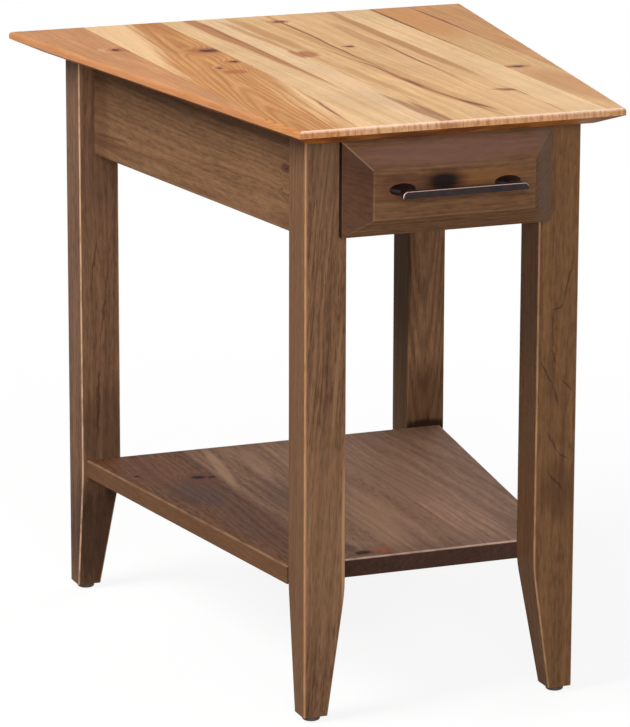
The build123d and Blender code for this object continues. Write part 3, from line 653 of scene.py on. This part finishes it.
brown = "#A8693A"
sapwood = "#EDC392"
umber = "#7A4626"
top_logs = {
    1: dict(
        pith=(-330, 0, 520), lean=(-3, 2), cream="#CC9264", honey="#B97F50", figure=0.2,
        knots=[(-192, 167, 5, 6, 0)],
        bands=[
            (-203, 168, 10, 14, 0, "#D9AC7C", 0.6), (-184, 164, 6, 18, 0, "#A2683F", 0.6),
            (-232, 0, 16, 300, 7, "#CE8F62", 0.5),
        ],
    ),
    2: dict(
        pith=(-138, 0, 574), lean=(-1.1, -5), cream="#D39A5F", honey="#BE7E44", ring=2.7, stray=6,
        figure=0.45,
        swells=[(-96, -30, 36, 90, -8, 3)],
        bands=[
            (-183, 150, 33, 640, -9, sapwood, 0.95), (-78, -300, 48, 270, 0, sapwood, 0.9),
            (-104, 280, 16, 70, 0, "#B4743F", 0.6), (-112, 122, 22, 34, 0, "#B9773F", 0.45),
            (-118, 6, 13, 13, 0, "#A95C36", 0.8),
        ],
        knots=[(-103, 130, 11, 9, 0), (-100, 60, 5, 4.5, 0), (-126, 32, 2.5, 4, 0)],
        checks=[(-103, -206, 0.9, 44, -5)],
    ),
    3: dict(
        pith=(40, 0, 480), lean=(1, 1), cream="#E7C293", honey="#DAAE7B", figure=0.12,
        bands=[(-56, 170, 9, 290, 1.5, brown, 0.85), (-50, 120, 2.5, 220, 1, "#8A5630", 0.6)],
    ),
    4: dict(
        pith=(-190, 0, 470), lean=(-1, -1), cream="#EAC69B", honey="#DEB384", figure=0.1,
        bands=[
            (-25, 180, 5, 120, 3, "#BC8652", 0.7), (-23, 78, 5, 26, 0, "#A65F3E", 0.8),
            (-24, -250, 6, 90, 2, "#9E6A3E", 0.8),
        ],
    ),
    5: dict(
        pith=(190, 0, 520), lean=(2, -1), cream="#E8BE8A", honey="#D6A770", ring=3.4, figure=0.14,
        knots=[(30, 269, 6, 5, 0), (45, 102, 5, 3.5, 0)],
        bands=[
            (-14, 74, 11, 20, -6, "#A9623E", 0.95), (-10, 190, 9, 120, 2, "#B98552", 0.75),
            (22, 170, 6, 130, 2, "#BC8652", 0.6), (-6, -60, 6, 160, 3, "#C08C5A", 0.6),
            (34, -60, 7, 190, 4, "#BE8A56", 0.6), (-16, -270, 5, 70, 0, "#8E5A34", 0.8),
        ],
        checks=[
            (30.5, 228, 1, 42, 0), (29, 110, 0.8, 88, -1), (26, -58, 0.9, 80, 4.5),
            (34, -196, 1.1, 64, 5), (41.5, -236, 2.2, 24, 14), (27, -116, 1.6, 26, 2),
        ],
    ),
    6: dict(
        pith=(240, 0, 500), lean=(1, 1), cream="#E7BC88", honey="#D6A670", figure=0.14,
        checks=[
            (81, 30, 0.9, 72, -1), (103, -180, 7, 1.6, -30), (110, -212, 0.9, 20, 6),
            (111, -246, 0.8, 22, -6),
        ],
        bands=[
            (103, 120, 8, 230, 0, "#AE7846", 0.8), (76, 160, 7, 100, -2, "#BA8452", 0.6),
            (100, -178, 12, 8, -30, "#A5683F", 0.8),
        ],
    ),
    7: dict(pith=(0, 0, 480), lean=(-1, 1), cream="#ECC696", honey="#E0B480", figure=0.1),
    8: dict(
        pith=(300, 0, 560), lean=(-3, -2), cream="#DDB47E", honey="#CB9A60", figure=0.2,
        bands=[
            (175, 240, 34, 140, 0, "#C88A52", 0.9), (179, -190, 30, 120, 6, "#C58B56", 0.85),
            (152, 190, 3, 125, 0, umber, 0.85), (150, -64, 12, 6, 0, "#A8623E", 0.8),
        ],
        knots=[(163, -66, 7, 4.5, 0)],
        checks=[(151.2, 215, 1.3, 70, 0)],
    ),
    9: dict(
        pith=(330, 0, 550), lean=(2, 3), cream="#CF9963", honey="#BC824C",
        bands=[(198.5, 202, 2.4, 104, 0, umber, 0.9)],
    ),
}
for number, log in top_logs.items():
    board_finish = natural_hickory(f"natural_hickory_{number}", seed=60 + number, **log)
    give(nodes[f"top_board_{number}"], board_finish)

# ---------------------------------------------------------------- drawer front
# A thick block of stained hickory with a raised field and wide bevels on four sides. The
# sharp edges of the field and the mitre lines are paler, and the square edge behind the
# bevels is painted dark as shade.

# the field's half width, its lower and upper edge, how wide the bevels are, and y of its face
field_half = 85
field_low = 512
field_high = 561
side_bevel = 26
top_bevel = 27
foot_bevel = 19
field_face = -285
front_finish, tree, ground, furrow = stain(
    "stained_drawer_front", pith=(0, -240, 470), turn=(0, math.radians(3), along_x), seed=51,
    ring=5, stray=16, pale="#7E5C40", deep="#604430", lines=0.2,
    bands=[
        ((0, field_face, 575), (150, 30, 15), level, "#84625A", 0.5),
        ((30, field_face, 548), (50, 20, 9), level, "#8A5C36", 0.5),
        ((-60, field_face, 543), (26, 20, 14), level, "#5E3A2A", 0.6),
        ((-12, field_face, 546), (26, 20, 14), level, "#4A2C20", 0.8),
        ((-12, field_face, 546), (16, 20, 9), level, "#1F1A19", 0.95),
        ((102, -270, 540), (16, 30, 60), level, "#6F5A4D", 0.7),
    ],
)
# how far down its bevel a point of the front lies: 0 at the field's edge, 1 at the outer edge
grain_place = add_node(tree, "TexCoord").outputs["Object"]
place = add_node(tree, "SeparateXYZ", {0: grain_place})
sideways = add_node(tree, "Math", {0: place.outputs["X"]}, operation="ABSOLUTE")
bevel_rises = []
for across, inner, rise in (
    (sideways.outputs[0], field_half, side_bevel),
    (place.outputs["Z"], field_high, top_bevel),
    (place.outputs["Z"], field_low, -foot_bevel),
):
    span = {"Value": across, "From Min": inner * mm, "From Max": (inner + rise) * mm}
    bevel_rises.append(add_node(tree, "MapRange", span, clamp=False))
beside, above, below = bevel_rises
upright = add_node(tree, "Math", {0: above, 1: below}, operation="MAXIMUM")
lead = add_node(tree, "Math", {0: beside, 1: upright}, operation="SUBTRACT")
outward = add_node(tree, "Math", {0: beside, 1: upright}, operation="MAXIMUM")
# the left bevel shows end grain, which takes the stain darker
bevelled = add_node(tree, "MapRange", {"Value": outward, "From Min": 0, "From Max": 0.03})
on_side = add_node(tree, "MapRange", {"Value": lead, "From Min": -0.01, "From Max": 0.01})
on_left = add_node(
    tree, "MapRange", {"Value": place.outputs["X"], "From Min": 10 * mm, "From Max": -10 * mm, "To Max": 0.7}
)
end_grain = add_node(tree, "Math", {0: bevelled, 1: on_side}, operation="MULTIPLY")
end_grain = add_node(tree, "Math", {0: end_grain, 1: on_left}, operation="MULTIPLY")
ground = add_node(tree, "MixRGB", {0: end_grain, 1: ground, 2: linear("#422B22")})
# the mitre lines are paler in lines about 1 mm wide, most at the upper left corner
mitre = add_node(tree, "Math", {0: lead}, operation="ABSOLUTE")
mitre = add_node(
    tree, "MapRange", {"Value": mitre, "From Min": 0.02, "From Max": 0.05, "To Min": 1, "To Max": 0}
)
leftward = add_node(
    tree,
    "MapRange",
    {"Value": place.outputs["X"], "From Min": -70 * mm, "From Max": -40 * mm, "To Min": 1, "To Max": 0.1},
)
raised = add_node(
    tree,
    "MapRange",
    {"Value": place.outputs["Z"], "From Min": 540 * mm, "From Max": 556 * mm, "To Min": 0.15, "To Max": 1},
)
for share in (bevelled, leftward, raised):
    mitre = add_node(tree, "Math", {0: mitre, 1: share}, operation="MULTIPLY")
# the field's edge is faintly paler
rim = add_node(tree, "Math", {0: outward}, operation="ABSOLUTE")
rim = add_node(
    tree, "MapRange", {"Value": rim, "From Min": 0.01, "From Max": 0.06, "To Min": 0.14, "To Max": 0}
)
# the square edge behind the bevels is painted dark: painted shade along the front's side edges
facing = add_node(tree, "VectorMath", {0: add_node(tree, "TexCoord").outputs["Normal"]}, operation="ABSOLUTE")
facing = add_node(tree, "SeparateXYZ", {0: facing})
shaded_edge = add_node(tree, "MapRange", {"Value": facing.outputs["X"], "From Min": 0.8, "From Max": 0.95})
ground = add_node(tree, "MixRGB", {0: shaded_edge, 1: ground, 2: linear("#2C1C15")})
# the bevels' outer arris is paler, more to the right, but the shaded square edge isn't
outer = add_node(tree, "Math", {0: outward, 1: 1}, operation="SUBTRACT")
outer = add_node(tree, "Math", {0: outer}, operation="ABSOLUTE")
outer = add_node(
    tree, "MapRange", {"Value": outer, "From Min": 0.01, "From Max": 0.03, "To Min": 0.6, "To Max": 0}
)
off_edge = add_node(tree, "Math", {0: 1, 1: shaded_edge}, operation="SUBTRACT")
rightward = add_node(
    tree, "MapRange", {"Value": place.outputs["X"], "From Min": -90 * mm, "From Max": 80 * mm, "To Min": 0.1}
)
for share in (off_edge, rightward):
    outer = add_node(tree, "Math", {0: outer, 1: share}, operation="MULTIPLY")
bright = add_node(tree, "Math", {0: mitre, 1: rim}, operation="MAXIMUM")
bright = add_node(tree, "Math", {0: bright, 1: outer}, operation="MAXIMUM")
# all of it comes in patches about 55 mm long
patches = add_node(tree, "TexNoise", {"Vector": grain_place, "Scale": 18, "Detail": 2})
patchy = add_node(tree, "MapRange", {"Value": patches, "From Min": 0.4, "From Max": 0.6, "To Min": 0.35})
bright = add_node(tree, "Math", {0: bright, 1: patchy}, operation="MULTIPLY")
ground = add_node(tree, "MixRGB", {0: bright, 1: ground, 2: linear("#AD8A6B")})
lacquer(tree, ground, furrow, depth=0.12, gloss=0.02)
give(nodes["drawer_front"], front_finish)

# ---------------------------------------------------------------- slides
# Full-extension ball-bearing slides of zinc-plated steel, with hardened balls in pressed
# steel cages.

slide_steel, tree = empty_material("zinc_plated_steel")
place = add_node(tree, "TexCoord").outputs["Object"]
# the strip is rolled lengthways, with lines about 1 mm apart
lines = long_noise(tree, place, across=900, along=12, detail=2)
# and the zinc is clouded in patches about 17 mm wide
clouds = add_node(tree, "TexNoise", {"Vector": place, "Scale": 60, "Detail": 3})
colour = add_node(tree, "MixRGB", {0: clouds, 1: linear("#A9AEB2"), 2: linear("#D3D6D8")})
dull = add_node(tree, "MapRange", {"Value": lines, "To Min": 0.24, "To Max": 0.46})
shader = add_node(tree, "BsdfPrincipled", {"Base Color": colour, "Metallic": 1, "Roughness": dull})
add_node(tree, "OutputMaterial", {"Surface": shader})

ball_steel, tree = empty_material("hardened_ball_steel")
place = add_node(tree, "TexCoord").outputs["Object"]
# the balls carry a thin film of grease, in blots about 2.5 mm wide
film = add_node(tree, "TexNoise", {"Vector": place, "Scale": 400, "Detail": 1})
dull = add_node(tree, "MapRange", {"Value": film, "To Min": 0.08, "To Max": 0.22})
shader = add_node(tree, "BsdfPrincipled", {"Base Color": linear("#DADCDD"), "Metallic": 1, "Roughness": dull})
add_node(tree, "OutputMaterial", {"Surface": shader})

for side in ("left", "right"):
    for member in ("slide_outer", "slide_middle", "slide_inner", "cage_outer", "cage_inner"):
        give(nodes[f"{member}_{side}"], slide_steel)
for name in ("top_clips", "clip_screws", "rail_screws", "front_screws", "pull_screws"):
    give(nodes[name], slide_steel)
for name in ("balls_outer", "balls_inner"):
    give(nodes[name], ball_steel)

# ---------------------------------------------------------------- bumpers
# Four dots of clear soft polyurethane, stuck behind the corners of the drawer front, so that
# it closes softly against the legs.

dot_finish, tree = empty_material("clear_polyurethane")
place = add_node(tree, "TexCoord").outputs["Object"]
# their cast surface is hazy in blots about 3 mm wide
haze = add_node(tree, "TexNoise", {"Vector": place, "Scale": 300, "Detail": 1})
dull = add_node(tree, "MapRange", {"Value": haze, "To Min": 0.2, "To Max": 0.4})
shader = add_node(
    tree,
    "BsdfPrincipled",
    {"Base Color": linear("#D8D6CE"), "Roughness": dull, "IOR": 1.5, "Transmission Weight": 0.6},
)
add_node(tree, "OutputMaterial", {"Surface": shader})
give(nodes["bumpers"], dot_finish)

# ---------------------------------------------------------------- pull
# A cast zinc bar pull, plated and darkened to an oil-rubbed bronze. The bar's upper and left
# front arrises are a pale copper: copper polished back by hands, with a painted highlight from
# the light at the upper left.

bar_back = -307.65
pull_finish, tree = empty_material("rubbed_bronze")
place = add_node(tree, "TexCoord").outputs["Object"]
# the bronze finish is uneven in clouds about 8 mm wide
cloud = add_node(tree, "TexNoise", {"Vector": place, "Scale": 120, "Detail": 3})
colour = add_node(tree, "MixRGB", {0: cloud, 1: linear("#17100F"), 2: linear("#33262A")})
facing = add_node(tree, "SeparateXYZ", {0: add_node(tree, "TexCoord").outputs["Normal"]})
# the faces turned up or left: polished copper together with a painted highlight
upward = add_node(tree, "MapRange", {"Value": facing.outputs["Z"], "From Min": 0.15, "From Max": 0.4})
leftward = add_node(tree, "MapRange", {"Value": facing.outputs["X"], "From Min": -0.15, "From Max": -0.4})
forward = add_node(tree, "MapRange", {"Value": facing.outputs["Y"], "From Min": -0.2, "From Max": -0.45})
polished_and_lit = add_node(tree, "Math", {0: upward, 1: leftward}, operation="MAXIMUM")
polished_and_lit = add_node(tree, "Math", {0: polished_and_lit, 1: forward}, operation="MULTIPLY")
# only on the bar, which is in front of the pull's feet
depth = add_node(tree, "SeparateXYZ", {0: place})
on_bar = add_node(tree, "Math", {0: depth.outputs["Y"], 1: bar_back * mm}, operation="LESS_THAN")
polished_and_lit = add_node(tree, "Math", {0: polished_and_lit, 1: on_bar}, operation="MULTIPLY")
colour = add_node(tree, "MixRGB", {0: polished_and_lit, 1: colour, 2: linear("#BE9C94")})
dull = add_node(tree, "MapRange", {"Value": cloud, "To Min": 0.32, "To Max": 0.5})
shader = add_node(tree, "BsdfPrincipled", {"Base Color": colour, "Metallic": 0.7, "Roughness": dull})
add_node(tree, "OutputMaterial", {"Surface": shader})
give(nodes["pull"], pull_finish)

# ---------------------------------------------------------------- floor and light
# A plain pale floor under a soft studio light: a large soft box above on the left, a low one
# in front, a weaker one behind on the right, and an even white room.


def seen_directly(tree):
    """1 for a ray from the camera, a mirror or a glass, and 0 for light that bounces."""
    ray = add_node(tree, "LightPath")
    seen = ray.outputs["Is Camera Ray"]
    for other in ("Is Glossy Ray", "Is Transmission Ray"):
        seen = add_node(tree, "Math", {0: seen, 1: ray.outputs[other]}, operation="MAXIMUM")
    return seen


floor_metres = 30
bpy.ops.object.select_all(action="DESELECT")
bpy.ops.mesh.primitive_plane_add(size=floor_metres)
floor = bpy.context.active_object
floor.name = "floor"
floor_finish, tree = empty_material("pale_floor")
seen = seen_directly(tree)
# near the table it keeps the shadow, and a step or two away it is white
away = add_node(tree, "VectorMath", {0: add_node(tree, "TexCoord").outputs["Object"]}, operation="LENGTH")
white = add_node(
    tree,
    "MapRange",
    {"Value": away.outputs["Value"], "From Min": 0.45, "From Max": 1.6, "To Min": 0.88, "To Max": 1},
    interpolation_type="SMOOTHSTEP",
)
lift = add_node(tree, "Math", {0: seen, 1: white}, operation="MULTIPLY")
# light that bounces off it is dimmed, so that the undersides stay dark
tint = add_node(tree, "MixRGB", {0: seen, 1: linear("#8E8C8A"), 2: linear("#FAF9F8")})
painted = add_node(tree, "BsdfDiffuse", {"Color": tint})
glow = add_node(tree, "Emission", {"Color": linear("#FFFFFF"), "Strength": 1})
mixed = add_node(tree, "MixShader", {0: lift, 1: painted, 2: glow})
add_node(tree, "OutputMaterial", {"Surface": mixed})
give(floor, floor_finish)

room = bpy.data.worlds.new("white_room")
bpy.context.scene.world = room
room.use_nodes = True
tree = room.node_tree
tree.nodes.clear()
daylight = add_node(tree, "MapRange", {"Value": seen_directly(tree), "To Min": 0.14, "To Max": 1})
sky = add_node(tree, "Background", {"Color": linear("#FFFFFF"), "Strength": daylight})
add_node(tree, "OutputWorld", {"Surface": sky})

soft_boxes = {
    "key_light": dict(place=(-2.9, -0.25, 3.0), side=1.8, watts=155),
    "fill_light": dict(place=(-1.0, -3.5, 1.2), side=2.1, watts=105),
    "back_light": dict(place=(2.7, 2.4, 1.3), side=2.1, watts=60),
}
table_middle = Vector((0, 0, 0.35))
for name, box in soft_boxes.items():
    lamp = bpy.data.lights.new(name, "AREA")
    lamp.size = box["side"]
    lamp.energy = box["watts"]
    holder = bpy.data.objects.new(name, lamp)
    bpy.context.scene.collection.objects.link(holder)
    holder.location = box["place"]
    holder.rotation_euler = (table_middle - holder.location).to_track_quat("-Z", "Y").to_euler()

# ---------------------------------------------------------------- camera
# A long lens to the left of the drawer's face, looking slightly down. The view's height and
# the focal length are in pixels, the sensor's width is in mm, and places are in metres.

pixels_high = 727
focal_pixels = 4371.2
sensor = 36
yaw = math.radians(21.554)
pitch = math.radians(14.265)
roll = math.radians(0.172)
distance = 4.5191
target = Vector((-0.04025, -0.01775, 0.30308))

lens = bpy.data.cameras.new("camera")
lens.sensor_width = sensor
lens.lens = focal_pixels * sensor / pixels_high
camera = bpy.data.objects.new("camera", lens)
bpy.context.scene.collection.objects.link(camera)
turned = Matrix.Rotation(-yaw, 4, "Z") @ Matrix.Rotation(math.pi / 2 - pitch, 4, "X")
turned = turned @ Matrix.Rotation(roll, 4, "Z")
ahead = turned @ Vector((0, 0, -1))
camera.matrix_world = Matrix.Translation(target - ahead * distance) @ turned
bpy.context.scene.camera = camera
bpy.context.scene.view_settings.view_transform = "Standard"
